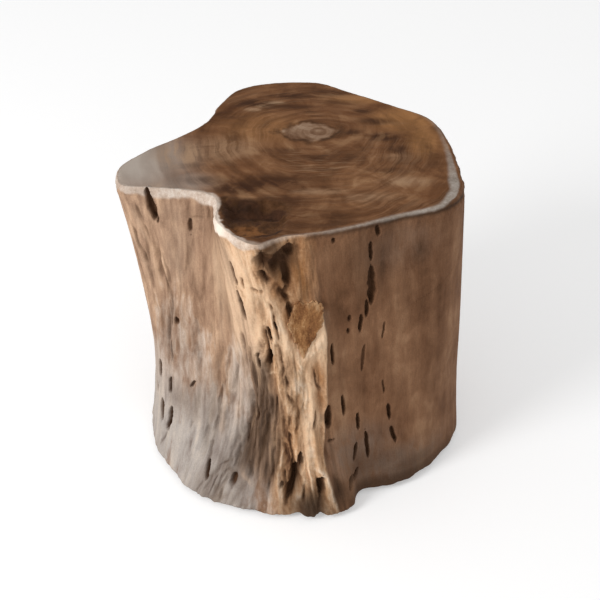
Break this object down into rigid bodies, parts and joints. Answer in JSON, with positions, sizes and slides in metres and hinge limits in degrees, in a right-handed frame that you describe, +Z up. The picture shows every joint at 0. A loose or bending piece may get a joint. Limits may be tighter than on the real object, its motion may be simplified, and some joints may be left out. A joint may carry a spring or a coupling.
{
  "type": "log stool",
  "caption": "Low stool cut from one weathered log: flat sawn top with a lobed live edge, worm-slit natural wall, flared foot and nail-on felt glides underneath.",
  "frame": {"origin": "on the floor, under the middle of the stool's bounding box", "axes": "+Z up out of the seat, +X to the right of the picture and along the longest extent, -Y to the side that the picture shows"},
  "size_m": [0.4735, 0.4606, 0.427],
  "materials": {
    "weathered_wood": "dry, unvarnished, sun-bleached and worn smooth on the right, eroded along the grain at the front",
    "inner_bark": "dry and fibrous",
    "nylon": "moulded, dark brown",
    "steel": "bright, as drawn",
    "felt": "pressed wool felt, brown"
  },
  "bodies": {
    "root": {"trunk": "weathered_wood", "bark_remnant": "inner_bark", "glide_cup_front_left": "nylon", "glide_cup_front_right": "nylon", "glide_cup_rear_right": "nylon", "glide_cup_rear_left": "nylon", "glide_nail_front_left": "steel", "glide_nail_front_right": "steel", "glide_nail_rear_right": "steel", "glide_nail_rear_left": "steel", "glide_felt_front_left": "felt", "glide_felt_front_right": "felt", "glide_felt_rear_right": "felt", "glide_felt_rear_left": "felt"}
  },
  "joints": []
}
